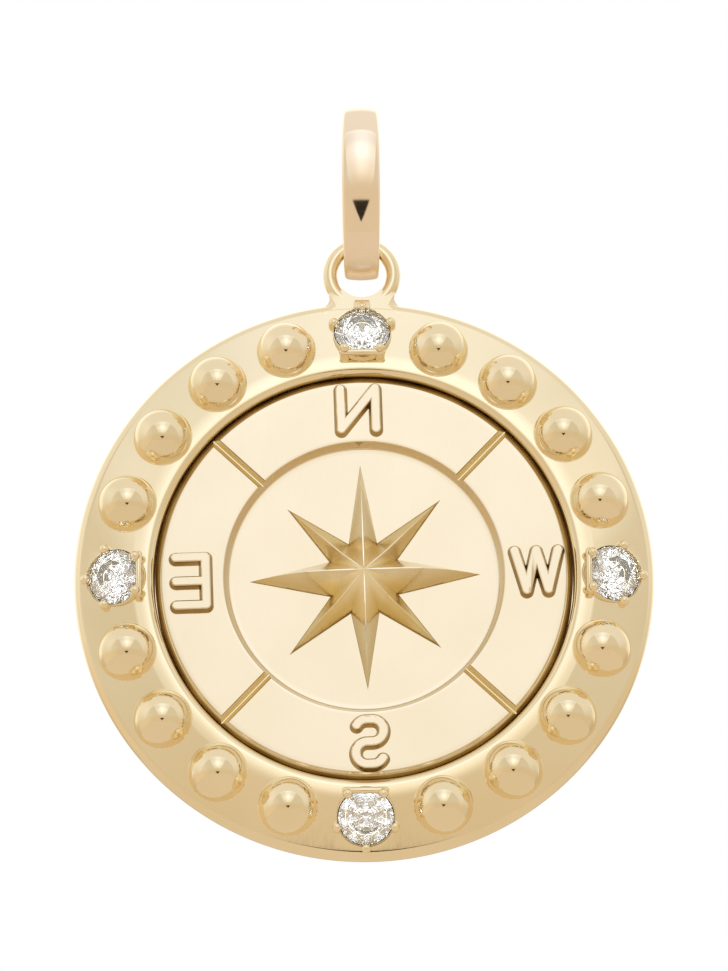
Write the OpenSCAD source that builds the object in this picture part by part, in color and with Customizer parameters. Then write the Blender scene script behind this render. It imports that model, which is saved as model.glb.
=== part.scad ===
// Compass pendant: a round medallion in two cast pieces hangs from an oval bail.
// Millimetres, +Z up, the face looks along -Y. The origin is the top of the opening
// in the bail, where a chain carries the pendant.

/* [Frame] */
// Outer diameter of the domed frame
medallion_d = 25; // [22:0.5:30]
// Width of the domed band, from its outer edge to its opening
band_w = 3.46; // [3.2:0.02:4]
// Height of the crest of the dome above the flat back
crest_h = 1.3; // [1.25:0.05:1.7]
// Thickness of the fully rounded outer edge
edge_t = 0.9; // [0.8:0.02:1]
// Rounding of the inner lip, from the crest down into the opening
lip_r = 0.35; // [0.2:0.05:0.5]
// Width of the ledge that carries the dial
ledge_w = 0.4; // [0.2:0.05:0.7]
// Thickness of that ledge
ledge_t = 0.3; // [0.2:0.05:0.4]

/* [Loop] */
// Diameter of the hole in the loop
loop_hole_d = 2.15; // [2:0.05:2.6]
// Thickness of the loop's round wire
loop_wire_d = 0.62; // [0.5:0.02:0.8]
// How deep the loop is let into the edge of the frame
loop_sink = 0.35; // [0.25:0.05:0.5]

/* [Beads] */
// Diameter of a bead
bead_d = 2.5; // [2.1:0.1:2.7]
// Beads between two stones
beads_between = 4; // [3:1:4]
// How far the middle of a bead stands above the dome
bead_rise = 0.04; // [0:0.02:0.4]
// How far the circle of the beads and stones lies inside the middle of the band
ring_in = 0.04; // [0:0.01:0.1]

/* [Stones] */
// Diameter of a stone over its girdle
stone_d = 2.4; // [2.1:0.05:2.5]
// Height of the crown, above the girdle
crown_h = 0.38; // [0.25:0.01:0.5]
// Depth of the pavilion, below the girdle
pavilion_h = 1; // [0.8:0.05:1.05]
// Thickness of the girdle
girdle_t = 0.08; // [0.04:0.01:0.15]
// Diameter of the flat table
table_d = 1.35; // [1.1:0.05:1.5]
// Height of the middle of the girdle above the dome
stone_rise = 0.02; // [0:0.02:0.2]
// Outward lean of a stone and its setting, in degrees
stone_lean = 23; // [15:1:24]
// How much further out the top stone sits, close under the loop
top_out = 0.25; // [0:0.05:0.3]

/* [Settings] */
// How far the collar that joins the prongs stands out past the girdle
collar_out = 0.07; // [0.03:0.01:0.1]
// Width of the collar's wall
collar_wall = 0.42; // [0.3:0.02:0.6]
// Height of the collar
collar_h = 0.27; // [0.2:0.01:0.3]
// Depth of the collar's foot below the middle of the girdle
collar_drop = 0.6; // [0.5:0.01:0.64]
// Thickness of a prong
prong_d = 0.5; // [0.4:0.02:0.56]
// Prongs of a setting
prong_count = 5; // [4:1:6]
// How far a prong's middle lies outside the girdle
prong_out = 0.12; // [0.08:0.01:0.16]
// How far a prong's round tip stands above the girdle
prong_over = 0.2; // [0.14:0.01:0.3]
// Diameter of the light hole through the frame under a stone
light_hole_d = 1; // [0.6:0.1:1.4]
// Clearance of a stone in its prongs and of a setting in its seat
setting_gap = 0.03; // [0.02:0.01:0.05]

/* [Dial] */
// Clearance between the dial and the frame, all round and below
dial_gap = 0.04; // [0.02:0.01:0.1]
// Height of the dial's flat panels above the flat back of the frame
panel_h = 1.14; // [1:0.02:1.24]
// Width of the bevel round the dial
bevel_w = 0.28; // [0.15:0.01:0.4]
// Drop of that bevel at the edge of the dial
bevel_drop = 0.25; // [0.15:0.01:0.3]
// Diameter of the sunk star field at its rim
field_d = 12.1; // [11.2:0.1:12.4]
// Depth of the star field below the panels
field_depth = 0.42; // [0.3:0.02:0.5]
// Width of the slope from the rim down to the star field
field_slope = 0.2; // [0.1:0.02:0.3]
// Width of the four grooves between the panels
groove_w = 0.38; // [0.2:0.02:0.5]
// Turn of the dial in the frame, in degrees against the clock
dial_turn = 1.5; // [0:0.5:10]

/* [Letters] */
// How far the letters lie outside the middle of the panels
letter_out = 0.12; // [0:0.02:0.18]
// Height of the letter N, which the other letters follow
letter_h = 2.42; // [2:0.02:2.6]
// Width of a stroke
stroke_w = 0.6; // [0.4:0.02:0.65]
// How far the letters stand above the panels
letter_rise = 0.4; // [0.2:0.05:0.6]
// Letters drawn mirrored, with E on the left
letters_mirrored = true; // [true, false]

/* [Star] */
// Length of the four main rays
ray_l = 4.93; // [4.2:0.01:5.2]
// Length of the four rays between them
short_ray_l = 4.62; // [3.6:0.01:5]
// Distance from the middle to the notches between the rays
notch_r = 1.67; // [1.2:0.01:2]
// Angle of a notch from the main ray beside it, in degrees
notch_turn = 27; // [24:0.5:31]
// Height of the star above its field
star_h = 1.5; // [1:0.05:1.8]

/* [Bail] */
// Height of the opening in the bail
bail_open_h = 5.84; // [5:0.02:7]
// Depth of that opening, from front to back
bail_open_d = 3.1; // [2.8:0.05:4.2]
// Thickness of the bail at the middle of its width
bail_t = 0.95; // [0.75:0.05:1]
// Width of the bail at half its height
bail_w = 1.68; // [1.6:0.02:1.76]
// Width of the bail at its top and bottom
bail_end_w = 1.47; // [1.3:0.01:1.56]
// Sag of the domed outer face across the bail's width
bail_crown = 0.12; // [0.1:0.01:0.3]
// Sag of the inner face across the bail's width
bail_belly = 0.1; // [0.05:0.01:0.2]
// Clearance between the loop and the bail that it hangs on
hang_gap = 0.05; // [0.03:0.01:0.08]

/* [Hidden] */
$fn = 96;

// Spare length of a cutting solid past what it cuts
past = 0.5;
// How deep a raised piece is rooted in what carries it
root = 0.1;

// Frame: opening, crest and the arc of the dome, which runs into the rounded edge
medallion_r = medallion_d / 2;
opening_r = medallion_r - band_w;
crest_r = opening_r + lip_r;
edge_r = edge_t / 2;
dome_run = medallion_r - edge_r - crest_r;
dome_fall = crest_h - edge_r;
dome_r = (pow(dome_run, 2) + pow(dome_fall, 2) - pow(edge_r, 2)) / (2 * (dome_fall - edge_r));
dome_mid_h = crest_h - dome_r;
dome_end = atan2(dome_run, edge_r - dome_mid_h);
function dome_h(r) = dome_mid_h + sqrt(pow(dome_r, 2) - pow(r - crest_r, 2));

// Beads and stones share one circle
ring_r = medallion_r - band_w / 2 - ring_in;
stone_step = 90;
top = stone_step;
bead_step = stone_step / (beads_between + 1);

// Collar and circle of the prongs' middles, whose feet are let into the top of the collar
collar_r = stone_d / 2 + collar_out;
prong_r = stone_d / 2 + prong_out;
prong_drop = collar_drop - 2 / 3 * collar_h;

// Bail: half sizes of its oval and the arcs that draw it. The middles of a side arc and
// an end arc span a triangle with sides 3, 4 and 5, so that the arcs meet exactly.
bail_up = bail_open_h / 2 + bail_t;
bail_side = bail_open_d / 2 + bail_t;
arc_unit = (bail_up - bail_side) / 2;
end_off = 3 * arc_unit;
side_off = 4 * arc_unit;
end_r = bail_up - end_off;
side_r = bail_side + side_off;
side_arc = atan2(3, 4);
end_arc = 90 - side_arc;
function arc_r(half_w, sag) = (pow(half_w, 2) + pow(sag, 2)) / (2 * sag);
crown_r = arc_r(bail_w / 2, bail_crown);
belly_r = arc_r(bail_w / 2, bail_belly);
taper_r = arc_r(bail_up, (bail_w - bail_end_w) / 2);
function sag(radius, half_w) = radius - sqrt(pow(radius, 2) - pow(half_w, 2));

// Loop and the height at which everything hangs
loop_r = (loop_hole_d + loop_wire_d) / 2;
loop_up = medallion_r - loop_sink + loop_r + loop_wire_d / 2;
hole_r = loop_hole_d / 2;
loop_lift = edge_t / 2;
edge_x = bail_end_w / 2;
hang_drop = max(sag(hole_r, edge_x) - sag(belly_r, edge_x), 0) + hang_gap;
loop_z = -bail_open_h + hang_drop - hole_r;
medallion_z = loop_z - loop_up;
swing_z = loop_z + loop_r;

// Dial
dial_r = opening_r - dial_gap;
dial_back = ledge_t + dial_gap;
field_h = panel_h - field_depth;
field_r = field_d / 2;

// Letters: their circle, and width and height as shares of the height of the N
letter_r = (field_r + dial_r - bevel_w) / 2 + letter_out;
N_W = 0.87;
E_W = 0.78;
E_H = 1.13;
S_W = 0.75;
S_H = 1.06;
W_W = 1.02;
W_H = 0.98;

// Ridge of a ray: share of its length, share of the star's height
MAIN_RIDGE = [[0.3, 0.98], [0.5, 0.9], [0.66, 0.74], [0.8, 0.5], [0.92, 0.22]];
SHORT_RIDGE = [[0.3, 0.52], [0.5, 0.4], [0.7, 0.25], [0.88, 0.11]];

// Colours, as fractions of red, green and blue
yellow_gold = [0.89, 0.76, 0.5];
bright_gold = [0.96, 0.87, 0.66];
peach_gold = [0.9, 0.75, 0.6];
clear_stone = [0.88, 0.9, 0.94];

// Medallion, drawn lying on its back and then stood up behind the loop's middle plane
module stand_up() {
    translate([0, loop_lift, medallion_z]) rotate([90, 0, 0]) children();
}

// Place of a stone: the middle of its girdle, with the axis leaning outwards
module at_stone(angle) {
    r = ring_r + (angle == top ? top_out : 0);
    rotate([0, 0, angle]) translate([r, 0, dome_h(r) + stone_rise]) rotate([0, stone_lean, 0]) children();
}

// Cross-section of the frame: lip, dome, rounded edge, flat back and ledge
module frame_profile() {
    translate([opening_r, 0]) square([medallion_r - edge_r - opening_r, edge_r]);
    translate([medallion_r - edge_r, edge_r]) circle(edge_r);
    translate([opening_r, 0]) square([lip_r, crest_h - lip_r]);
    translate([crest_r, crest_h - lip_r]) circle(lip_r);
    intersection() {
        translate([crest_r, dome_mid_h]) circle(dome_r);
        reach = 2 * dome_r;
        translate([crest_r, dome_mid_h])
            polygon([[0, 0], [0, reach], reach * [sin(dome_end), cos(dome_end)]]);
        translate([crest_r, 0]) square([band_w, crest_h + past]);
    }
    translate([opening_r - ledge_w, 0]) square([ledge_w + root, ledge_t]);
}

// Ball beads, rooted in the dome and cut off inside the band
module beads() {
    for (corner = [0:3], k = [1:beads_between])
        rotate([0, 0, corner * stone_step + k * bead_step])
            intersection() {
                lean = asin((ring_r - crest_r) / dome_r);
                translate([ring_r + bead_rise * sin(lean), 0, dome_h(ring_r) + bead_rise * cos(lean)])
                    sphere(d = bead_d);
                translate([ring_r - bead_d, -bead_d, edge_r]) cube([2 * bead_d, 2 * bead_d, 2 * bead_d]);
            }
}

module loop() {
    translate([0, loop_up, loop_lift])
        rotate_extrude() translate([loop_r, 0]) circle(d = loop_wire_d);
}

// Outline of a stone grown by a clearance, which is cut out of what holds it
module stone_space(gap) {
    grown_r = stone_d / 2 + gap;
    half_t = (girdle_t + gap) / 2;
    translate([0, 0, -half_t]) cylinder(r = grown_r, h = 2 * half_t);
    translate([0, 0, half_t]) cylinder(r1 = grown_r, r2 = table_d / 2 + gap, h = crown_h);
    translate([0, 0, -half_t - pavilion_h]) cylinder(r1 = gap, r2 = grown_r, h = pavilion_h);
}

// Room for a setting and its stone: a bore for the collar, channels for the prongs, a
// cone for the pavilion and a light hole through the back
module seat() {
    deep = collar_drop + setting_gap;
    prong_deep = prong_drop + setting_gap;
    high = crest_h + past;
    translate([0, 0, -deep]) cylinder(r = collar_r + setting_gap, h = deep + high);
    for (k = [0:prong_count - 1]) rotate([0, 0, k * 360 / prong_count])
        translate([prong_r, 0, -prong_deep]) cylinder(d = prong_d + 2 * setting_gap, h = prong_deep + high);
    stone_space(setting_gap);
    translate([0, 0, -deep - high]) cylinder(d = light_hole_d, h = deep + high);
}

module frame() color(yellow_gold) stand_up()
    difference() {
        union() {
            rotate_extrude() frame_profile();
            beads();
            loop();
        }
        for (corner = [0:3]) at_stone(corner * stone_step) seat();
    }

// Round prong, from the collar to a ball tip above the girdle
module prong() {
    translate([prong_r, 0, -prong_drop]) cylinder(d = prong_d, h = prong_drop + prong_over);
    translate([prong_r, 0, prong_over]) sphere(d = prong_d);
}

module setting(angle) color(yellow_gold) stand_up() at_stone(angle)
    difference() {
        union() {
            translate([0, 0, -collar_drop]) cylinder(r = collar_r, h = collar_h);
            for (k = [0:prong_count - 1]) rotate([0, 0, k * 360 / prong_count]) prong();
        }
        translate([0, 0, -collar_drop - past]) cylinder(r = collar_r - collar_wall, h = collar_drop + past);
        stone_space(setting_gap);
    }

// Round brilliant: table, star facets, kites, upper halves, girdle, lower halves, mains
module stone(angle) {
    r = stone_d / 2;
    top_z = girdle_t / 2;
    low_z = -girdle_t / 2;
    half = 22.5;
    // Corners between the kites and between the mains lie at these shares of the radius
    kite_r = r * 0.8;
    main_r = r * 0.3;
    kite_z = top_z + crown_h * (r - kite_r * cos(half)) / (r - table_d / 2);
    main_z = low_z - pavilion_h * (1 - main_r * cos(half) / r);
    function corner(radius, angle, z) = [radius * cos(angle), radius * sin(angle), z];
    function ring(radius, z, count, start) =
        [for (k = [0:count - 1]) corner(radius, start + k * 360 / count, z)];
    points = concat(ring(table_d / 2, top_z + crown_h, 8, 0), ring(kite_r, kite_z, 8, half),
                    ring(r, top_z, 16, 0), ring(r, low_z, 16, 0),
                    ring(main_r, main_z, 8, half), [[0, 0, low_z - pavilion_h]]);
    // First index of each ring of points
    kite = 8;
    upper = 16;
    lower = 32;
    main = 48;
    culet = 56;
    table = [for (k = [7:-1:0]) k];
    crown = [for (k = [0:7]) each [
        [kite + k, k, (k + 1) % 8],
        [upper + 2 * k, k, kite + k],
        [upper + 2 * k, kite + (k + 7) % 8, k],
        [upper + 2 * k + 1, upper + 2 * k, kite + k],
        [upper + (2 * k + 2) % 16, upper + 2 * k + 1, kite + k]]];
    girdle = [for (k = [0:15]) each [
        [lower + k, upper + k, upper + (k + 1) % 16],
        [lower + k, upper + (k + 1) % 16, lower + (k + 1) % 16]]];
    pavilion = [for (k = [0:7]) each [
        [culet, main + (k + 7) % 8, lower + 2 * k],
        [culet, lower + 2 * k, main + k],
        [main + k, lower + 2 * k, lower + 2 * k + 1],
        [main + k, lower + 2 * k + 1, lower + (2 * k + 2) % 16]]];
    color(clear_stone) stand_up() at_stone(angle)
        polyhedron(points, concat([table], crown, girdle, pavilion));
}

// Cross-section of the dial: flat back, bevelled edge, panels and the sunk field
module dial_profile() {
    polygon([[0, dial_back], [dial_r, dial_back], [dial_r, panel_h - bevel_drop],
             [dial_r - bevel_w, panel_h], [field_r, panel_h],
             [field_r - field_slope, field_h], [0, field_h]]);
}

// Four grooves of V section, from the field out through the edge
module grooves() {
    side = groove_w / sqrt(2);
    start = field_r - field_slope;
    for (corner = [0:3])
        rotate([0, 0, 45 + corner * 90]) translate([start, 0, panel_h]) rotate([45, 0, 0])
            translate([0, -side / 2, -side / 2]) cube([dial_r - start + past, side, side]);
}

// Straight stroke with round ends, between two points of a letter
module stroke(from, to) {
    reach = to - from;
    for (end = [from, to]) translate(end) cylinder(d = stroke_w, h = letter_rise + root);
    translate(from) rotate([0, 0, atan2(reach[1], reach[0])])
        translate([0, -stroke_w / 2, 0]) cube([norm(reach), stroke_w, letter_rise + root]);
}

// Bent stroke of a letter: part of a ring round a point
module bend(middle, radius, start, sweep) {
    translate(middle) rotate([0, 0, start]) rotate_extrude(angle = sweep)
        translate([radius - stroke_w / 2, 0]) square([stroke_w, letter_rise + root]);
}

module letter_n() {
    x = (N_W * letter_h - stroke_w) / 2;
    y = (letter_h - stroke_w) / 2;
    stroke([-x, -y], [-x, y]);
    stroke([x, -y], [x, y]);
    stroke([-x, y], [x, -y]);
}

module letter_e() {
    x = (E_W * letter_h - stroke_w) / 2;
    y = (E_H * letter_h - stroke_w) / 2;
    stroke([-x, -y], [-x, y]);
    for (arm = [-y, 0, y]) stroke([-x, arm], [x, arm]);
}

module letter_s() {
    r = (S_H * letter_h - stroke_w) / 4;
    x = (S_W * letter_h - stroke_w) / 2 - r;
    hook = 60;
    for (turn = [0, 180]) rotate([0, 0, turn]) {
        bend([x, r], r, 90 - hook, hook);
        translate([x + r * sin(hook), r + r * cos(hook), 0]) cylinder(d = stroke_w, h = letter_rise + root);
        stroke([-x, 2 * r], [x, 2 * r]);
        bend([-x, r], r, 90, 180);
    }
    stroke([-x, 0], [x, 0]);
}

module letter_w() {
    x = (W_W * letter_h - stroke_w) / 2;
    y = (W_H * letter_h - stroke_w) / 2;
    for (side = [-1, 1]) {
        stroke([side * x, y], [side * x / 2, -y]);
        stroke([side * x / 2, -y], [0, y]);
    }
}

module letters() {
    translate([0, 0, panel_h - root]) mirror([letters_mirrored ? 1 : 0, 0, 0]) {
        translate([0, letter_r]) letter_n();
        translate([letter_r, 0]) letter_e();
        translate([0, -letter_r]) letter_s();
        translate([-letter_r, 0]) letter_w();
    }
}

// Eight-rayed star: sharp ridges, which bend down to the tips, over an outline of
// tips and notches. It goes down past the field, so that it is rooted there.
module star() {
    rays = 8;
    long = len(MAIN_RIDGE);
    short = len(SHORT_RIDGE);
    function is_main(k) = k % 2 == 0;
    function at(radius, angle, z) = [radius * cos(angle), radius * sin(angle), z];
    function ray_angle(k) = k * 360 / rays;
    function notch_angle(k) = is_main(k) ? ray_angle(k) + notch_turn : ray_angle(k + 1) - notch_turn;
    function outline(z) = [for (k = [0:rays - 1]) each
        [at(is_main(k) ? ray_l : short_ray_l, ray_angle(k), z), at(notch_r, notch_angle(k), z)]];
    ridges = [for (k = [0:rays - 1]) each is_main(k)
        ? [for (p = MAIN_RIDGE) at(p[0] * ray_l, ray_angle(k), p[1] * star_h)]
        : [for (p = SHORT_RIDGE) at(p[0] * short_ray_l, ray_angle(k), p[1] * star_h)]];
    // First index of each group of points
    rim = 2 * rays;
    apex = 2 * rim;
    function ridge(k) = apex + 1 + floor((k + 1) / 2) * long + floor(k / 2) * short;
    function ridge_line(k) = concat([apex],
        [for (i = [0:(is_main(k) ? long : short) - 1]) ridge(k) + i], [rim + 2 * k]);
    flanks = [for (k = [0:rays - 1]) let (line = ridge_line(k)) each
        [for (i = [0:len(line) - 2]) each
            [[rim + 2 * k + 1, line[i + 1], line[i]],
             [rim + (2 * k + rim - 1) % rim, line[i], line[i + 1]]]]];
    walls = [for (k = [0:rim - 1]) [k, rim + k, rim + (k + 1) % rim, (k + 1) % rim]];
    foot = [for (k = [0:rim - 1]) k];
    translate([0, 0, field_h])
        polyhedron(concat(outline(-root), outline(0), [[0, 0, star_h]], ridges),
                   concat([foot], walls, flanks));
}

module dial() color(bright_gold) stand_up() rotate([0, 0, dial_turn]) {
    difference() {
        rotate_extrude() dial_profile();
        grooves();
    }
    letters();
    star();
}

// Cross-section of the bail: domed outside, slightly bellied inside
module bail_profile(outer_r) {
    intersection() {
        translate([outer_r - crown_r, 0]) circle(crown_r);
        translate([outer_r - bail_t + belly_r, 0]) circle(belly_r);
    }
}

module bail_arc(middle, radius, start, sweep) {
    translate(middle) rotate([0, 0, start]) rotate_extrude(angle = sweep) bail_profile(radius);
}

// Oval hoop of two side arcs and four quarter arcs at its ends, trimmed narrower
// towards its top and bottom
module bail() color(peach_gold) translate([0, 0, -bail_open_h / 2]) rotate([90, 0, 90])
    intersection() {
        for (turn = [0, 180]) rotate([0, 0, turn]) {
            bail_arc([-side_off, 0], side_r, -side_arc, 2 * side_arc);
            for (start = [side_arc, 90]) bail_arc([0, end_off], end_r, start, end_arc);
        }
        intersection_for (side = [-1, 1])
            translate([0, 0, side * (taper_r - bail_w / 2)]) rotate([0, 90, 0])
                cylinder(r = taper_r, h = 2 * bail_side + 2 * past, center = true, $fn = 360);
    }

bail();
frame();
dial();
setting(0);  // setting_right
setting(top);  // setting_top
setting(180);  // setting_left
setting(270);  // setting_bottom
stone(0);  // stone_right
stone(top);  // stone_top
stone(180);  // stone_left
stone(270);  // stone_bottom
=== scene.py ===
# %% [markdown]
# # Compass pendant
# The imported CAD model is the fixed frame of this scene. Each metal piece gets a finer
# twin here, with rounded edges and a polished surface, and the twin rides on the same
# body as the CAD piece. Everything is in metres once it is finished, but a piece of
# jewellery is far easier to think about in millimetres, so it is modelled in those.

# %% Load the CAD frame
import math

import bpy
from mathutils import Matrix, Vector


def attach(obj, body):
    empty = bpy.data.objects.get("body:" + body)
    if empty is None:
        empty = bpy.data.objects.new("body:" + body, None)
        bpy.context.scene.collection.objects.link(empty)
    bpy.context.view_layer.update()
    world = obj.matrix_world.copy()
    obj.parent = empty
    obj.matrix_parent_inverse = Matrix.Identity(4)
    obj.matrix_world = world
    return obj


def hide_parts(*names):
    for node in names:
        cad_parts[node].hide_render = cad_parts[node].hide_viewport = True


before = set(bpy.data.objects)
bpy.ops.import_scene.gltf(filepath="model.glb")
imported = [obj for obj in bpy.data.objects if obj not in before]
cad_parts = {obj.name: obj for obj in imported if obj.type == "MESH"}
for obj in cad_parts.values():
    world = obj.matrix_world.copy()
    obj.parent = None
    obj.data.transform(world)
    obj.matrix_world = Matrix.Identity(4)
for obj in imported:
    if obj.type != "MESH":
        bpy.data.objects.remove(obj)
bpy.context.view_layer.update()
MM = 0.001
print("CAD nodes:", sorted(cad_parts))

# %% [markdown]
# The medallion is drawn lying on its back: x to the right, y up the face, z out of the
# face. Standing it up is one turn about x and one move, the same ones as in the CAD.

# %% Places and sizes taken over from the CAD, in millimetres
MEDALLION_Z = -20.4958
LOOP_MIDDLE_LIFT = 0.45
MEDALLION_R = 12.5
OPENING_R = 9.04
LIP_R = 0.35
CREST_R = 9.39
CREST_H = 1.3
EDGE_R = 0.45
DOME_R = 9.4945
DOME_MID_H = -8.1945
LEDGE_R = 8.64
LEDGE_T = 0.3
RING_R = 10.73
STONE_LEAN = 23
TOP_OUT = 0.25
STAND_UP = (
    Matrix.Translation((0, LOOP_MIDDLE_LIFT * MM, MEDALLION_Z * MM))
    @ Matrix.Rotation(math.radians(90), 4, "X")
    @ Matrix.Scale(MM, 4)
)


def dome_h(r):
    """Height of the CAD's dome at a distance r from the middle, where the stones sit."""
    return DOME_MID_H + math.sqrt(DOME_R**2 - (r - CREST_R) ** 2)


print("dome height under the beads:", round(dome_h(RING_R), 3))

# %% [markdown]
# Operators act on whatever is selected, so each step starts by clearing the selection.
# These few helpers pick an object, pick parts of its mesh by their place, and apply a
# modifier, as one does by hand in the viewport. "place" moves an object by a matrix and
# bakes the move into its mesh, so that its origin stays at the origin of the world.


# %% Helpers for selecting and applying
def clear_selection():
    if bpy.context.mode != "OBJECT":
        bpy.ops.object.mode_set(mode="OBJECT")
    bpy.ops.object.select_all(action="DESELECT")


def only(obj):
    clear_selection()
    obj.select_set(True)
    bpy.context.view_layer.objects.active = obj


def newest(name):
    """The object that an operator has just made, with its new name."""
    obj = bpy.context.active_object
    obj.name = name
    obj.data.name = name
    return obj


def select_parts(obj, kind, test):
    """Selects the vertices, edges or faces that pass the test, and stays in edit mode."""
    only(obj)
    bpy.ops.object.mode_set(mode="EDIT")
    bpy.ops.mesh.select_mode(type=kind)
    bpy.ops.mesh.select_all(action="DESELECT")
    bpy.ops.object.mode_set(mode="OBJECT")
    mesh = obj.data
    for part in {"VERT": mesh.vertices, "EDGE": mesh.edges, "FACE": mesh.polygons}[kind]:
        part.select = test(part)
    bpy.ops.object.mode_set(mode="EDIT")


def move_verts(obj, new_spot):
    for vert in obj.data.vertices:
        vert.co = new_spot(vert.co.copy())


def close_up(obj, distance=0.0005):
    """Merges corners that coincide and turns all faces outwards."""
    only(obj)
    bpy.ops.object.mode_set(mode="EDIT")
    bpy.ops.mesh.select_all(action="SELECT")
    bpy.ops.mesh.remove_doubles(threshold=distance)
    bpy.ops.mesh.normals_make_consistent(inside=False)
    bpy.ops.object.mode_set(mode="OBJECT")


def combine(obj, other, operation):
    """Adds or cuts another object, which is used up."""
    only(obj)
    step = obj.modifiers.new(operation, "BOOLEAN")
    step.operation = operation
    step.solver = "EXACT"
    step.object = other
    bpy.ops.object.modifier_apply(modifier=step.name)
    bpy.data.objects.remove(other)


def join(pieces):
    only(pieces[0])
    for piece in pieces[1:]:
        piece.select_set(True)
    bpy.ops.object.join()
    return pieces[0]


def copy_of(obj, name):
    twin = obj.copy()
    twin.data = obj.data.copy()
    twin.name = name
    bpy.context.collection.objects.link(twin)
    return twin


def place(obj, matrix):
    only(obj)
    obj.matrix_world = matrix
    bpy.ops.object.transform_apply(location=True, rotation=True, scale=True)


def smooth(obj, angle=35):
    only(obj)
    bpy.ops.object.shade_smooth_by_angle(angle=math.radians(angle))


def count(obj):
    triangles = sum(len(face.vertices) - 2 for face in obj.data.polygons)
    print(obj.name, triangles, "triangles")


# %% [markdown]
# Turned parts start as a closed outline of the cross-section, which is spun round the
# axis like clay on a wheel. The outline is a circle primitive with as many corners as
# the profile has, and each corner is moved to its place. Arcs give it its roundings.


# %% Helpers for turned parts
def arc(middle, radius, start, end, steps):
    angles = [math.radians(start + (end - start) * k / steps) for k in range(steps + 1)]
    return [(middle[0] + radius * math.cos(a), middle[1] + radius * math.sin(a)) for a in angles]


def rounded(corners, steps=5):
    """Profile through corners (r, h, rounding): each corner is replaced by a tangent arc."""
    points = []
    for k, (r, h, rounding) in enumerate(corners):
        here = Vector((r, h))
        if rounding == 0:
            points.append((r, h))
            continue
        before = (Vector(corners[k - 1][:2]) - here).normalized()
        after = (Vector(corners[(k + 1) % len(corners)][:2]) - here).normalized()
        half = before.angle(after) / 2
        reach = rounding / math.tan(half)
        middle = here + (before + after).normalized() * rounding / math.sin(half)
        first = here + before * reach - middle
        last = here + after * reach - middle
        turn = first.angle_signed(last)
        for step in range(steps + 1):
            spoke = first.copy()
            spoke.rotate(Matrix.Rotation(-turn * step / steps, 2))
            points.append(tuple(middle + spoke))
    return points


def turned(name, points, segments):
    clear_selection()
    bpy.ops.mesh.primitive_circle_add(vertices=len(points), radius=1)
    obj = newest(name)
    for vert, (r, h) in zip(obj.data.vertices, points):
        vert.co = (r, 0, h)
    only(obj)
    bpy.ops.object.mode_set(mode="EDIT")
    bpy.ops.mesh.select_all(action="SELECT")
    bpy.ops.mesh.spin(steps=segments, angle=math.radians(360), center=(0, 0, 0), axis=(0, 0, 1))
    bpy.ops.object.mode_set(mode="OBJECT")
    close_up(obj)
    return obj


# %% [markdown]
# The frame is a domed ring: from its rounded rim the dome rises to a crest, and there a
# small lip rolls down into the opening that holds the dial. A ledge inside carries the
# dial. One spun profile gives all of this, with enough steps for clean reflections. Two
# extra corners near the edges of the flat back keep its smooth shading calm.

# %% Frame: the domed ring
CREST_ROUND = 3.8
CONE_FALL = 9.95
EDGE_START = MEDALLION_R - EDGE_R
NEAR_EDGE = 0.1
profile = [(LEDGE_R, 0), (LEDGE_R + NEAR_EDGE, 0), (EDGE_START - NEAR_EDGE, 0)]
profile += arc((EDGE_START, EDGE_R), EDGE_R, -90, 90 - CONE_FALL, 24)
profile += arc((CREST_R, CREST_H - CREST_ROUND), CREST_ROUND, 90 - CONE_FALL, 90, 16)
profile += arc((CREST_R, CREST_H - LIP_R), LIP_R, 90, 180, 14)[1:]
profile += [(OPENING_R, LEDGE_T), (LEDGE_R, LEDGE_T)]
pendant_frame = turned("pendant_frame", profile, 288)
slope = math.radians(CONE_FALL)
CONE_START = CREST_R + CREST_ROUND * math.sin(slope)


def face_height(r):
    """Height of the finished dome at a distance r from the middle."""
    if r < CREST_R:
        return CREST_H - LIP_R + math.sqrt(max(LIP_R**2 - (CREST_R - r) ** 2, 0))
    if r < CONE_START:
        return CREST_H - CREST_ROUND + math.sqrt(CREST_ROUND**2 - (r - CREST_R) ** 2)
    return face_height(CONE_START - 1e-9) - (r - CONE_START) * math.tan(slope)


print("profile corners:", len(profile), "height under the beads:", round(face_height(RING_R), 3))

# %% [markdown]
# Where the loop meets the rim, the metal flares up to the hole in the loop, and the face
# of the band runs on over it. This shoulder is a grid that is laid between two curves:
# an arc on the band below, and above it the flare and the edge of the hole. It lies a
# hair, SKIN, above the band it covers. Its border is extruded backwards and pressed flat
# there, and the new edges are rounded.

# %% Frame: the shoulder under the loop
LOOP_Y = 13.845
LOOP_OUT = 1.695
HOLE_R = 1.075
FLARE_R = 0.4
OVERLAP = 0.05
SKIN = 0.004
RUN_ON = 2.2
SHOULDER_BACK = 0.2
flare_y = ((MEDALLION_R + FLARE_R) ** 2 - (LOOP_OUT + FLARE_R) ** 2 + LOOP_Y**2) / (2 * LOOP_Y)
flare_x = math.sqrt((MEDALLION_R + FLARE_R) ** 2 - flare_y**2)
at_loop = math.degrees(math.atan2(LOOP_Y - flare_y, -flare_x))
at_rim = math.degrees(math.atan2(-flare_y, -flare_x)) + 360
rim_turn = math.degrees(math.atan2(flare_y, flare_x))
flare = arc((flare_x, flare_y), FLARE_R, at_rim, at_loop, 14)
hole_edge = arc((0, LOOP_Y), HOLE_R + 0.01, -42, -138, 30)
above = flare + hole_edge + [(-x, y) for x, y in reversed(flare)]
below = arc((0, 0), EDGE_START - OVERLAP, rim_turn, 180 - rim_turn, len(above) - 1)
clear_selection()
bpy.ops.mesh.primitive_grid_add(x_subdivisions=len(above) - 1, y_subdivisions=12, size=2)
shoulder = newest("shoulder")


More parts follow.
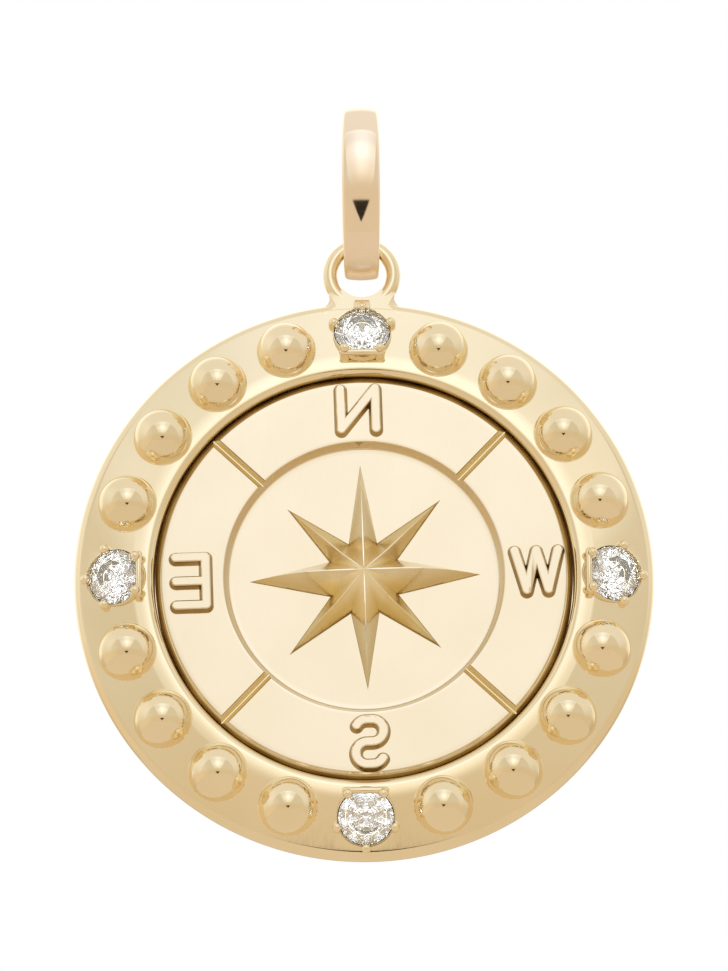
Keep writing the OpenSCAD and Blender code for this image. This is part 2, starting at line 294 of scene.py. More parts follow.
def lay(co):
    """Follows the rim's rounding at both ends, and runs the band's face on between them."""
    column = round((co.x + 1) / 2 * (len(above) - 1))
    share = (co.y + 1) / 2
    x, y = Vector(below[column]).lerp(Vector(above[column]), share)
    r = math.hypot(x, y)
    off_edge = min(max(r - EDGE_START, 0), EDGE_R)
    on_edge = EDGE_R + math.sqrt(EDGE_R**2 - off_edge**2)
    middle = min(1, RUN_ON * (1 - abs(co.x)))
    run_on = middle * middle * (3 - 2 * middle)
    height = on_edge + run_on * (face_height(r) - on_edge)
    return Vector((x, y, height + SKIN))


move_verts(shoulder, lay)
only(shoulder)
bpy.ops.object.mode_set(mode="EDIT")
bpy.ops.mesh.select_mode(type="EDGE")
bpy.ops.mesh.select_all(action="DESELECT")
bpy.ops.mesh.select_non_manifold()
bpy.ops.mesh.extrude_region_move(TRANSFORM_OT_translate={"value": (0, 0, -0.6)})
bpy.ops.transform.resize(value=(1, 1, 0), center_override=(0, 0, SHOULDER_BACK))
bpy.ops.mesh.edge_face_add()
bpy.ops.object.mode_set(mode="OBJECT")
close_up(shoulder, 0.002)
heights = [vert.co.z for vert in shoulder.data.vertices]
print("the shoulder reaches from", round(min(heights), 3), "to", round(max(heights), 3))
soften = shoulder.modifiers.new("soften", "BEVEL")
soften.width = 0.07
soften.segments = 4
soften.limit_method = "ANGLE"
soften.angle_limit = math.radians(50)
bpy.ops.object.modifier_apply(modifier=soften.name)
count(shoulder)

# %% [markdown]
# Four seats are bored into the dome for the stones. Their axis leans outwards by 23
# degrees, so that the stones look a little away from the middle. A seat matrix takes a
# point of the stone's own space, with the girdle at height 0, to the lying medallion.
# Behind each seat a narrow hole lets light through to the stone.

# %% Seats for the stones
STONE_ANGLES = {"right": 0, "top": 90, "left": 180, "bottom": 270}
GIRDLE_LIFT = 0.02
BORE_R = 1.27
LIGHT_HOLE_R = 0.5


def seat_matrix(angle):
    r = RING_R + (TOP_OUT if angle == STONE_ANGLES["top"] else 0)
    turn = Matrix.Rotation(math.radians(angle), 4, "Z")
    lift = Matrix.Translation((r, 0, dome_h(r) + GIRDLE_LIFT))
    return turn @ lift @ Matrix.Rotation(math.radians(STONE_LEAN), 4, "Y")


def drill(name, angle, sides, radius, depth, middle):
    """A rod in the axis of the seat at this angle, to be cut out of the metal."""
    clear_selection()
    bpy.ops.mesh.primitive_cylinder_add(
        vertices=sides, radius=radius, depth=depth, location=(0, 0, middle)
    )
    rod = newest(name)
    bpy.ops.object.transform_apply(location=True, rotation=True, scale=True)
    place(rod, seat_matrix(angle))
    return rod


for side, angle in STONE_ANGLES.items():
    bore = drill("bore_" + side, angle, 96, BORE_R, 1.8, 0.3)
    if side == "top":
        combine(shoulder, copy_of(bore, "bore_in_shoulder"), "DIFFERENCE")
    combine(pendant_frame, bore, "DIFFERENCE")
    light_hole = drill("light_hole_" + side, angle, 64, LIGHT_HOLE_R, 2.8, -1.6)
    combine(pendant_frame, light_hole, "DIFFERENCE")
count(pendant_frame)

# %% [markdown]
# Between two stones sit four ball beads, cast in one piece with the band. Where a ball
# meets the band, the casting has a small hollow rounding. So the profile of a bead is the
# arc of the ball, followed by the arc of that hollow, and it is spun about its own axis.
# The bead is copied round the circle, and its foot is laid exactly on the dome. Of the
# twenty places on the circle, every fifth belongs to a stone.

# %% Beads and loop
BEAD_R = 1.25
BEAD_SINK = 0.04
FOOT_R = 0.09
PLACES = 20
STONE_EVERY = 5
reach = math.sqrt((BEAD_R + FOOT_R) ** 2 - (FOOT_R + BEAD_SINK) ** 2)
meet = math.degrees(math.asin((FOOT_R + BEAD_SINK) / (BEAD_R + FOOT_R)))
foot_top = -BEAD_SINK + BEAD_R * math.sin(math.radians(meet))
bead_profile = [(0, -0.3), (reach + 0.03, -0.3)]
bead_profile += arc((reach, FOOT_R), FOOT_R, 270, 180 + meet, 7)
bead_profile += arc((0, -BEAD_SINK), BEAD_R, meet, 90, 26)[1:]
model_bead = turned("bead", bead_profile, 72)
foot_end = foot_top + 0.001
beads = []
for step in range(PLACES):
    if step % STONE_EVERY == 0:
        continue
    bead = copy_of(model_bead, "bead_%d" % step)
    turn = Matrix.Rotation(math.radians(step * 360 / PLACES), 4, "Z")
    lift = Matrix.Translation((RING_R, 0, face_height(RING_R)))
    place(bead, turn @ lift @ Matrix.Rotation(slope, 4, "Y"))
    for vert, model in zip(bead.data.vertices, model_bead.data.vertices):
        if -0.01 < model.co.z < foot_end:
            share = 1 - model.co.z / foot_end
            r = math.hypot(vert.co.x, vert.co.y)
            on_dome = face_height(r) - SKIN + model.co.z * math.cos(slope)
            vert.co.z += share * (on_dome - vert.co.z)
    beads.append(bead)
bpy.data.objects.remove(model_bead)
WIRE_R = 0.31
clear_selection()
bpy.ops.mesh.primitive_torus_add(
    major_radius=LOOP_OUT - WIRE_R,
    minor_radius=WIRE_R,
    major_segments=128,
    minor_segments=36,
    location=(0, LOOP_Y, LOOP_MIDDLE_LIFT),
)
loop = newest("loop")
bpy.ops.object.transform_apply(location=True, rotation=True, scale=True)
pendant_frame = join([pendant_frame, loop, shoulder] + beads)
smooth(pendant_frame)
count(pendant_frame)

# %% [markdown]
# Each stone sits in a collar with five prongs. A prong is a round post that ends in a
# ball over the girdle, and a short rail joins the two prongs towards the dial. The
# setting is modelled once, in the stone's own space, and copied to its four seats. The
# top one also has a square post between its stone and the hole in the loop.

# %% Settings
PRONGS = 5
PRONG_R = 1.3
PRONG_FOOT = -0.6
TIP_R = 0.22
TIP_LIFT = 0.22
RAIL_R = 0.15
RAIL_HALF = 0.86
collar = turned(
    "collar",
    rounded(
        [
            (0.66, -0.6, 0.03),
            (1.265, -0.6, 0.03),
            (1.265, 0.03, 0.015),
            (1.225, 0.03, 0.01),
            (1.225, -0.06, 0),
            (0.86, -0.44, 0.03),
        ],
        3,
    ),
    96,
)
prongs = []
for k in range(PRONGS):
    clear_selection()
    bpy.ops.mesh.primitive_uv_sphere_add(segments=32, ring_count=20, radius=TIP_R)
    prong = newest("prong_%d" % k)
    select_parts(prong, "VERT", lambda vert: vert.co.z < -0.01)
    bpy.ops.transform.translate(value=(0, 0, PRONG_FOOT))
    bpy.ops.object.mode_set(mode="OBJECT")
    lift = Matrix.Translation((PRONG_R, 0, TIP_LIFT))
    place(prong, Matrix.Rotation(math.radians(360 / PRONGS * k), 4, "Z") @ lift)
    prongs.append(prong)
inner = PRONG_R * math.cos(math.radians(180 / PRONGS))
clear_selection()
bpy.ops.mesh.primitive_uv_sphere_add(
    segments=24, ring_count=16, radius=RAIL_R, rotation=(math.radians(90), 0, 0)
)
rail = newest("rail")
bpy.ops.object.transform_apply(location=True, rotation=True, scale=True)
for side in (1, -1):
    select_parts(rail, "VERT", lambda vert: vert.co.y * side > 0.01)
    bpy.ops.transform.translate(value=(0, side * RAIL_HALF, 0))
    bpy.ops.object.mode_set(mode="OBJECT")
place(rail, Matrix.Translation((-inner - 0.12, 0, 0.08)))
model_setting = join([collar, rail] + prongs)
smooth(model_setting, 40)
clear_selection()
bpy.ops.mesh.primitive_cube_add(size=1, location=(0, 0, 0), scale=(0.5, 0.74, 0.6))
post = newest("post")
bpy.ops.object.transform_apply(location=True, rotation=True, scale=True)
bpy.ops.object.mode_set(mode="EDIT")
bpy.ops.mesh.select_all(action="SELECT")
bpy.ops.mesh.bevel(offset=0.07, segments=3, affect="EDGES")
bpy.ops.object.mode_set(mode="OBJECT")
place(post, Matrix.Translation((1.48, 0, -0.02)))
settings = {}
for side, angle in STONE_ANGLES.items():
    setting = copy_of(model_setting, "claw_setting_" + side)
    if side == "top":
        setting = join([setting, post])
        smooth(setting, 40)
    place(setting, STAND_UP @ seat_matrix(angle))
    settings[side] = setting
bpy.data.objects.remove(model_setting)
count(settings["top"])

# %% [markdown]
# The dial is a turned plate: flat panels with a bevelled edge, and in the middle a sunk
# field for the star. Its corners are softly rounded, because polishing does that to
# every edge, and each rounding catches a thin line of light. One corner without a
# rounding halves the bevel, because its outer half gets a dark gold as painted shade.

# %% Dial: the turned plate
DIAL_R = 9.0
PANEL_H = 1.14
PANEL_OUT = 8.72
PANEL_IN = 6.05
FIELD_H = 0.72
BEVEL_HALF = 8.87
dial_profile = rounded(
    [
        (0, 0.34, 0),
        (DIAL_R, 0.34, 0.05),
        (DIAL_R, 0.89, 0.06),
        (BEVEL_HALF, 1.0061, 0),
        (PANEL_OUT, PANEL_H, 0.08),
        (8.5, PANEL_H, 0),
        (6.2, PANEL_H, 0),
        (PANEL_IN, PANEL_H, 0.05),
        (5.85, FIELD_H, 0.08),
        (5.6, FIELD_H, 0),
        (0, FIELD_H, 0),
    ]
)
dial = turned("compass_dial", dial_profile, 256)

# %% [markdown]
# Four grooves part the panels. A groove cutter is a long bar with a V-shaped section,
# whose shoulders flare out a little, so that the groove gets soft edges. It starts as a
# six-sided cylinder lying along x. Its corners come in pairs, one at each end, so half
# of a corner's number tells which corner of the section it is.

# %% Dial: the four grooves
GROOVE_HALF = 0.19
GROOVE_MIDDLE = 7.6
SHOULDER_IN = GROOVE_HALF - 0.02
SHOULDER_OUT = GROOVE_HALF + 0.05
groove_section = [
    (SHOULDER_IN, -0.035),
    (0.02, -GROOVE_HALF),
    (-0.02, -GROOVE_HALF),
    (-SHOULDER_IN, -0.035),
    (-SHOULDER_OUT, 0.02),
    (SHOULDER_OUT, 0.02),
]
for corner in range(4):
    clear_selection()
    bpy.ops.mesh.primitive_cylinder_add(
        vertices=6, radius=1, depth=3.6, rotation=(0, math.radians(90), 0)
    )
    cutter = newest("groove_cutter")
    bpy.ops.object.transform_apply(location=True, rotation=True, scale=True)
    for index, vert in enumerate(cutter.data.vertices):
        y, z = groove_section[index // 2]
        vert.co = (vert.co.x, y, z)
    turn = Matrix.Rotation(math.radians(45 + 90 * corner), 4, "Z")
    place(cutter, turn @ Matrix.Translation((GROOVE_MIDDLE, 0, PANEL_H)))
    close_up(cutter)
    combine(dial, cutter, "DIFFERENCE")
count(dial)

# %% [markdown]
# The letters are raised strokes of one width with round ends. A straight stroke is a
# cylinder whose far half is pulled away from the near half. Its top is inset and raised
# twice, for leaning walls and a soft edge: DRAFT and SOFT_EDGE say how far in and how far
# up each time. Merged strokes meet in crisp inner corners.

# %% Letters: straight and bent strokes
STROKE_R = 0.3
STROKE_W = 2 * STROKE_R
WALL_FOOT = 1.0
WALL_TOP = PANEL_H + 0.03
LETTER_CIRCLE = 7.45
LETTER_DROP = 0.07
LETTER_H = 2.42
DRAFT = (0.1, 0.32)
SOFT_EDGE = (0.045, 0.04)


def stroke(start, end):
    clear_selection()
    height = WALL_TOP - WALL_FOOT
    bpy.ops.mesh.primitive_cylinder_add(vertices=48, radius=STROKE_R, depth=height)
    bar = newest("stroke")
    bar.rotation_euler = (0, 0, math.radians(3.75))
    bpy.ops.object.transform_apply(location=False, rotation=True, scale=False)
    reach = Vector(end) - Vector(start)
    move_verts(bar, lambda co: co + Vector((reach.length if co.x > 0 else 0, 0, 0)))
    select_parts(bar, "FACE", lambda face: face.normal.z > 0.9)
    bpy.ops.mesh.inset(use_even_offset=True, thickness=DRAFT[0], depth=DRAFT[1])
    bpy.ops.mesh.inset(use_even_offset=True, thickness=SOFT_EDGE[0], depth=SOFT_EDGE[1])
    bpy.ops.object.mode_set(mode="OBJECT")
    turn = Matrix.Rotation(math.atan2(reach.y, reach.x), 4, "Z")
    place(bar, Matrix.Translation((start[0], start[1], (WALL_FOOT + WALL_TOP) / 2)) @ turn)
    return bar


def bend(middle, radius, start, sweep):
    """Part of a ring: the stroke's section, as a filled circle primitive of eight
    corners moved to their places, is spun round the middle of the bend."""
    half = STROKE_R - DRAFT[0]
    soft = half - SOFT_EDGE[0]
    wall = WALL_TOP + DRAFT[1]
    top = wall + SOFT_EDGE[1]
    section = [(STROKE_R, WALL_FOOT), (STROKE_R, WALL_TOP), (half, wall), (soft, top)]
    section += [(-x, z) for x, z in reversed(section)]
    clear_selection()
    bpy.ops.mesh.primitive_circle_add(vertices=len(section), radius=1, fill_type="NGON")
    ring = newest("bend")
    for vert, (x, z) in zip(ring.data.vertices, section):
        vert.co = (radius + x, 0, z)
    only(ring)
    bpy.ops.object.mode_set(mode="EDIT")
    bpy.ops.mesh.select_all(action="SELECT")
    steps = max(8, round(sweep / 5))
    bpy.ops.mesh.spin(steps=steps, angle=math.radians(sweep), center=(0, 0, 0), axis=(0, 0, -1))
    bpy.ops.object.mode_set(mode="OBJECT")
    close_up(ring, 0.0001)
    turn = Matrix.Rotation(math.radians(start), 4, "Z")
    place(ring, Matrix.Translation((middle[0], middle[1], 0)) @ turn)
    return ring


def finish_letter(name, parts):
    letter = parts[0]
    letter.name = name
    for part in parts[1:]:
        combine(letter, part, "UNION")
    count(letter)
    return letter


# %% [markdown]
# In the photograph the compass letters are mirrored, so E stands on the left and W on
# the right, and N and S are drawn the wrong way round. The letters follow that. A letter
# is so many times LETTER_H wide and high, and x and y are the middle of its end strokes.

# %% Letters: N, E, S and W
x = (0.87 * LETTER_H - STROKE_W) / 2
y = (LETTER_H - STROKE_W) / 2
letter_n = finish_letter(
    "letter_north",
    [stroke((-x, -y), (-x, y)), stroke((x, -y), (x, y)), stroke((-x, -y), (x, y))],
)
x = (0.78 * LETTER_H - STROKE_W) / 2
y = (1.13 * LETTER_H - STROKE_W) / 2
letter_e = finish_letter(
    "letter_east",
    [stroke((x, -y), (x, y))] + [stroke((x, arm), (-x, arm)) for arm in (-y, 0, y)],
)
x = (1.02 * LETTER_H - STROKE_W) / 2
y = (0.98 * LETTER_H - STROKE_W) / 2
letter_w = finish_letter(
    "letter_west",
    [
        stroke((-x, y), (-x / 2, -y)),
        stroke((-x / 2, -y), (0, y)),
        stroke((0, y), (x / 2, -y)),
        stroke((x / 2, -y), (x, y)),
    ],
)
r = (1.06 * LETTER_H - STROKE_W) / 4
x = (0.75 * LETTER_H - STROKE_W) / 2 - r
HOOK_TURN = 60
DOT = 0.001
hook_x = x + r * math.sin(math.radians(HOOK_TURN))
hook_y = r + r * math.cos(math.radians(HOOK_TURN))
letter_s = finish_letter(
    "letter_south",
    [
        stroke((x, 2 * r), (-x, 2 * r)),
        bend((x, r), r, -90, 180),
        stroke((x, 0), (-x, 0)),
        bend((-x, -r), r, 90, 180),
        stroke((x, -2 * r), (-x, -2 * r)),
        bend((-x, r), r, 90, HOOK_TURN),
        stroke((-hook_x, hook_y), (-hook_x + DOT, hook_y)),
        bend((x, -r), r, 270, HOOK_TURN),
        stroke((hook_x, -hook_y), (hook_x + DOT, -hook_y)),
    ],
)
place(letter_n, Matrix.Translation((0, LETTER_CIRCLE, 0)))
place(letter_e, Matrix.Translation((-LETTER_CIRCLE, -LETTER_DROP, 0)))
place(letter_s, Matrix.Translation((0, -LETTER_CIRCLE, 0)))
place(letter_w, Matrix.Translation((LETTER_CIRCLE, -LETTER_DROP, 0)))

# %% [markdown]
# The star has four main rays and four lower rays between them, each with its own length.
# Half a ray is a patch: one side of it is the ridge, which bends down to the tip, and the
# other side shrinks to the notch beside the ray. The patch bulges a little, as a cast
# flank does. Its first row beside the ridge stays level, so the worn ridge is a narrow
# flat strip that catches the light. The two ridge tables give the height along a ray, as
# shares of its length and of the star's height.

# %% Star
STAR_H = 1.5
RIDGE_FLAT = 0.032
FLANK_BULGE = 0.12
RAYS = {0: 5.02, 45: 4.84, 90: 5.1, 135: 4.56, 180: 4.93, 225: 4.7, 270: 4.97, 315: 4.56}
NOTCH_R = 1.67
NOTCH_TURN = {0: 28, 90: 21.5, 180: 28, 270: 21.5}
MAIN_RIDGE = [(0, 1), (0.3, 0.98), (0.5, 0.9), (0.66, 0.74), (0.8, 0.5), (0.92, 0.22), (1, 0)]
SHORT_RIDGE = [(0, 1), (0.3, 0.52), (0.5, 0.4), (0.7, 0.25), (0.88, 0.11), (1, 0)]


def ridge_height(ridge, share):
    for (a, low), (b, high) in zip(ridge, ridge[1:]):
        if share <= b:
            t = (share - a) / (b - a)
            return STAR_H * (low + (high - low) * t)
    return 0


def taper(share):
    """Width of the level strip: it opens near the middle and narrows to the tip."""
    return min(1, 8 * share) * (1 - share)


def half_ray(name, length, ridge, notch_angle):
    clear_selection()
    bpy.ops.mesh.primitive_grid_add(x_subdivisions=40, y_subdivisions=12, size=1)
    patch = newest(name)
    turn = math.radians(notch_angle)
    notch = Vector((NOTCH_R * math.cos(turn), NOTCH_R * math.sin(turn), 0))

    def flank(co):
        share = co.x + 0.5
        down = co.y + 0.5
        height = ridge_height(ridge, share)
        top = Vector((share * length, 0, height))
        spot = top.lerp(notch, down)
        spot.z += FLANK_BULGE * height * down * (1 - down) * min(1, 3 * share)
        if 0.01 < down < 0.1:
            spot = top + Vector((0, math.copysign(RIDGE_FLAT, notch_angle), 0)) * taper(share)
        return spot

    move_verts(patch, flank)
    close_up(patch, 0.002)
    return patch


patches = []
for quarter in range(4):
    start = 90 * quarter
    after = (start + 90) % 360
    for ray, ridge, notch in (
        (start, MAIN_RIDGE, NOTCH_TURN[start]),
        (start, MAIN_RIDGE, -NOTCH_TURN[start]),
        (start + 45, SHORT_RIDGE, 45 - NOTCH_TURN[after]),
        (start + 45, SHORT_RIDGE, NOTCH_TURN[start] - 45),
    ):
        patch = half_ray("flank", RAYS[ray], ridge, notch)
        place(patch, Matrix.Rotation(math.radians(ray), 4, "Z"))
        patches.append(patch)
star = join(patches)
close_up(star, 0.004)
only(star)
bpy.ops.object.mode_set(mode="EDIT")
bpy.ops.mesh.select_mode(type="EDGE")
bpy.ops.mesh.select_all(action="DESELECT")
bpy.ops.mesh.select_non_manifold()
bpy.ops.mesh.extrude_region_move(TRANSFORM_OT_translate={"value": (0, 0, -0.1)})
bpy.ops.mesh.edge_face_add()
bpy.ops.object.mode_set(mode="OBJECT")
place(star, Matrix.Translation((0, 0, FIELD_H)))
close_up(star, 0.0001)
count(star)

# %% [markdown]
# Plate, letters and star are one cast piece, so they become one mesh. Its faces are
# sorted into three zones by their place and their lean: 0 is polished, 1 is a recess,
# painted a dark, dull gold as shade, and 2 is satin, for the star and the grooves. The
# painted shade goes on the walls of the letters, the foot of the star, the outer half of
# the bevel, and on the frame the inside of the lip, as the painted shadow of the gap. The
# dial is then turned in the frame by a degree and a half, as in the photograph, and both
# are stood up.

# %% Dial: one piece
compass_dial = join([dial, letter_n, letter_e, letter_s, letter_w, star])
compass_dial.name = "compass_dial"
smooth(compass_dial, 28)
# Zone 1 is painted shade: a dark, dull gold where shade falls in the recesses.
POLISHED, SHADED_RECESS, SATIN = 0, 1, 2
STAR_SPACE = 5.3
STAR_FOOT = 0.09
PANEL_FROM = PANEL_IN + 0.01
GROOVES_TO = PANEL_OUT - 0.02
LETTERS_TO = DIAL_R - 0.1
LIP_DEPTH = 0.05
DIAL_TURN = 1.5
zones = {POLISHED: 0, SHADED_RECESS: 0, SATIN: 0}
for face in compass_dial.data.polygons:
    r = math.hypot(face.center.x, face.center.y)
    height = face.center.z
    steep = abs(face.normal.z) < 0.8
    leaning = abs(face.normal.z) < 0.95
    raised = PANEL_H - 0.02 < height < WALL_TOP + DRAFT[1]
    wall = steep and raised and PANEL_FROM < r < LETTERS_TO
    groove = leaning and height < PANEL_H - 0.01 and PANEL_FROM < r < GROOVES_TO
    on_star = r < STAR_SPACE and height > FIELD_H + 0.001
    foot = on_star and height < FIELD_H + STAR_FOOT
    edge = steep and r > BEVEL_HALF
    zone = SHADED_RECESS if wall or foot or edge else SATIN if on_star or groove else POLISHED
    face.material_index = zone
    zones[zone] += 1
print("faces of polished gold, of recesses and of the star:", zones)
# On the frame, the inside of the lip gets the same painted shade, as the gap's shadow.
for face in pendant_frame.data.polygons:
    r = math.hypot(face.center.x, face.center.y)
    lip = OPENING_R - 0.02 < r < OPENING_R + LIP_DEPTH and face.center.z > LEDGE_T
    face.material_index = SHADED_RECESS if lip else POLISHED
place(compass_dial, STAND_UP @ Matrix.Rotation(math.radians(DIAL_TURN), 4, "Z"))
place(pendant_frame, STAND_UP)
count(compass_dial)

# %% [markdown]
# The bail is an oval hoop that the chain runs through. Its cross-section is a plane
# with rounded corners and slightly domed long sides. It is spun along the four arcs of
# the oval, one after the other, then made narrower towards both ends, and fuller above
# than below. Its front is filed down by a hair just below the middle, in one soft hump.

# %% Bail
BAIL_MIDDLE_Z = -2.92
BAIL_W = 1.68
BAIL_T = 0.95
BAIL_SIDE = 2.5
DOME_OUT, DOME_IN = 0.08, 0.1
SIDE_OFF = 2.74
END_OFF = 2.055
TAPER_R = 71.3711
FILED_AT = 1.4
FILED_HALF = 0.007
clear_selection()
bpy.ops.mesh.primitive_plane_add(size=1, location=(0, 0, 0))
hoop = newest("oval_bail")
move_verts(hoop, lambda co: Vector((co.x * BAIL_W, co.y * BAIL_T, 0)))
only(hoop)
bpy.ops.object.mode_set(mode="EDIT")
bpy.ops.mesh.select_all(action="SELECT")
bpy.ops.mesh.bevel(offset=0.15, segments=6, affect="VERTICES")


def is_side(edge):
    start, end = [hoop.data.vertices[index].co for index in edge.vertices]
    return (start - end).length > 0.3


select_parts(hoop, "EDGE", is_side)
bpy.ops.mesh.subdivide(number_cuts=11)
bpy.ops.mesh.select_mode(type="FACE")
bpy.ops.mesh.select_all(action="SELECT")
bpy.ops.mesh.delete(type="ONLY_FACE")
bpy.ops.object.mode_set(mode="OBJECT")


def domed(co):
    """The section's long sides fall towards its corners, each by its own depth."""
    sag = (DOME_OUT if co.y < 0 else DOME_IN) * (co.x / (BAIL_W / 2)) ** 2
    towards_middle = -1 if co.y > 0 else 1
    return Vector((co.x, co.y + towards_middle * sag * min(1, abs(co.y) / 0.3), co.z))


move_verts(hoop, domed)
place(hoop, Matrix.Translation((0, -BAIL_SIDE + BAIL_T / 2, BAIL_MIDDLE_Z)))
only(hoop)
bpy.ops.object.mode_set(mode="EDIT")
bpy.ops.mesh.select_all(action="SELECT")
side_arc = math.degrees(math.atan2(3, 4))  # the arcs meet on the slope of a 3-4-5 triangle
end_arc = 180 - 2 * side_arc
for sweep, steps, off_y, off_z in (
    (side_arc, 20, SIDE_OFF, 0),
    (end_arc, 48, 0, -END_OFF),
    (2 * side_arc, 40, -SIDE_OFF, 0),
    (end_arc, 48, 0, END_OFF),
    (side_arc, 20, SIDE_OFF, 0),
):
    bpy.ops.mesh.spin(
        steps=steps,
        angle=math.radians(sweep),
        center=(0, off_y, BAIL_MIDDLE_Z + off_z),
        axis=(-1, 0, 0),
    )
bpy.ops.object.mode_set(mode="OBJECT")
close_up(hoop)


def tapered(co):
    """Narrows both ends, and makes the upper half fuller than the lower one."""
    up = co.z - BAIL_MIDDLE_Z
    narrower = TAPER_R - math.sqrt(TAPER_R**2 - up**2)
    fuller_above = (0.94 + 0.056 * up) * (1 + 0.0145 * up**2)
    off = min(abs(up + FILED_AT) / FILED_AT, 1)
    filed = FILED_HALF * (math.cos(math.pi * off) + 1) if co.y < 0 else 0
    return Vector((co.x * (1 - 2 * narrower / BAIL_W), co.y * fuller_above + filed, co.z))


move_verts(hoop, tapered)
smooth(hoop, 50)
place(hoop, Matrix.Scale(MM, 4))
count(hoop)

# %% [markdown]
# Polished gold is a plain metal shader, but a real casting is never perfectly even.
# One node group gives all the gold its hand-polished look: slow waves, fine polishing
# lines and a faint change of tone. Each material sets how strong they are.


# %% Node helpers and the polish group
def add(tree, kind, **values):
    node = tree.nodes.new(kind)
    for key, value in values.items():
        if key in node.inputs:
            node.inputs[key].default_value = value
        else:
            setattr(node, key, value)
    return node


def link(tree, source, target):
    tree.links.new(source, target)


def remap(tree, value, low, high, new_low=0.0, new_high=1.0, interpolation="LINEAR"):
    """Turns a value between low and high into one between new_low and new_high."""
    node = add(tree, "ShaderNodeMapRange", interpolation_type=interpolation)
    sockets = ("From Min", "From Max", "To Min", "To Max")
    for name, number in zip(sockets, (low, high, new_low, new_high)):
        node.inputs[name].default_value = number
    link(tree, value, node.inputs["Value"])
    return node.outputs["Result"]


def fade(tree, factor, first, second):
    """Fades from the first colour to the second. Each is a tuple or a node's output."""
    node = add(tree, "ShaderNodeMix", data_type="RGBA")
    link(tree, factor, node.inputs["Factor"])
    for name, colour in (("A", first), ("B", second)):
        if isinstance(colour, tuple):
            node.inputs[name].default_value = (*colour, 1)
        else:
            link(tree, colour, node.inputs[name])
    return node.outputs["Result"]


polish = bpy.data.node_groups.new("hand_polish", "ShaderNodeTree")
for name in ("Wave Size", "Line Size"):
    polish.interface.new_socket(name, in_out="INPUT", socket_type="NodeSocketFloat")
for name in ("Height", "Tone", "Haze"):
    polish.interface.new_socket(name, in_out="OUTPUT", socket_type="NodeSocketFloat")
inlet = polish.nodes.new("NodeGroupInput")
outlet = polish.nodes.new("NodeGroupOutput")
spot = polish.nodes.new("ShaderNodeTexCoord")
waves = add(polish, "ShaderNodeTexNoise", Detail=1.5, Roughness=0.4)
lines = add(polish, "ShaderNodeTexNoise", Detail=4.0, Roughness=0.65)
stretch = add(polish, "ShaderNodeVectorMath", operation="MULTIPLY")
stretch.inputs[1].default_value = (1.0, 1.0, 0.16)
link(polish, spot.outputs["Object"], waves.inputs["Vector"])
link(polish, spot.outputs["Object"], stretch.inputs[0])
link(polish, stretch.outputs[0], lines.inputs["Vector"])
link(polish, inlet.outputs["Wave Size"], waves.inputs["Scale"])
link(polish, inlet.outputs["Line Size"], lines.inputs["Scale"])
share = add(polish, "ShaderNodeMath", operation="MULTIPLY_ADD")
share.inputs[1].default_value = 0.04
link(polish, lines.outputs["Fac"], share.inputs[0])
link(polish, waves.outputs["Fac"], share.inputs[2])
link(polish, share.outputs[0], outlet.inputs["Height"])
link(polish, remap(polish, waves.outputs["Fac"], 0.35, 0.65), outlet.inputs["Tone"])
link(polish, remap(polish, lines.outputs["Fac"], 0.4, 0.75), outlet.inputs["Haze"])


# %% [markdown]
# Five golds share one recipe. The frame and settings are yellow gold, and the bail is
# pinker. The dial's gold is a paler and darker copy of the yellow gold, as painted light:
# paler for its whitened highlights, darker to offset the strong light on it. Recesses get
# a dark, dull gold as painted shade, and the star is satin. Each gold has a light and a
# deep colour between which its tone wanders, the roughness of its clearest and haziest
# spots, the size of its waves, and the strength of its relief.


# %% Gold materials
LINES = 9000
RELIEF = 0.00002


def gold(name, light, deep, smoothest, roughest, wave, bump):
    material = bpy.data.materials.new(name)
    material.use_nodes = True
    tree = material.node_tree
    shader = tree.nodes["Principled BSDF"]
    shader.inputs["Metallic"].default_value = 1.0
    marks = tree.nodes.new("ShaderNodeGroup")
    marks.node_tree = polish
    marks.inputs["Wave Size"].default_value = wave
    marks.inputs["Line Size"].default_value = LINES
    link(tree, fade(tree, marks.outputs["Tone"], deep, light), shader.inputs["Base Color"])
    roughness = remap(tree, marks.outputs["Haze"], 0, 1, smoothest, roughest)
    link(tree, roughness, shader.inputs["Roughness"])
    relief = add(tree, "ShaderNodeBump", Strength=bump, Distance=RELIEF)
    link(tree, marks.outputs["Height"], relief.inputs["Height"])
    link(tree, relief.outputs["Normal"], shader.inputs["Normal"])
    return material


def height_mask(tree, axis, start, end, most):
    """From 0 at start to most at end, along one axis of the Object coordinates."""
    spot = tree.nodes.new("ShaderNodeTexCoord")
    split = tree.nodes.new("ShaderNodeSeparateXYZ")
    link(tree, spot.outputs["Object"], split.inputs[0])
    return remap(tree, split.outputs[axis], start, end, 0, most)


yellow_gold = gold(
    "polished_yellow_gold", (0.95, 0.84, 0.62), (0.92, 0.81, 0.58), 0.06, 0.12, 350, 0.25
)
# The dial's gold is painted light: a paler, darker copy of the yellow gold, paler for whitened
# highlights, darker to offset the strong light.
dial_gold_painted_pale = gold(
    "polished_gold_painted_pale", (0.84, 0.75, 0.59), (0.82, 0.73, 0.565), 0.08, 0.15, 300, 0.3
)
peach_gold = gold(
    "polished_peach_gold", (1.0, 0.88, 0.74), (0.98, 0.85, 0.70), 0.04, 0.08, 350, 0.2
)
# Painted shade: a dark, dull gold for the recesses, where shade falls.
painted_shade_gold = gold("painted_shade_gold", (0.60, 0.45, 0.22), (0.44, 0.31, 0.13), 0.3, 0.42, 600, 0.4)
satin_gold = gold("satin_star_gold", (0.88, 0.76, 0.47), (0.83, 0.70, 0.41), 0.18, 0.28, 500, 0.35)

# %% [markdown]
# Where the loop hangs and swings, the bail has lost its mirror polish. The height in the
# Object coordinates makes its lowest part rougher.

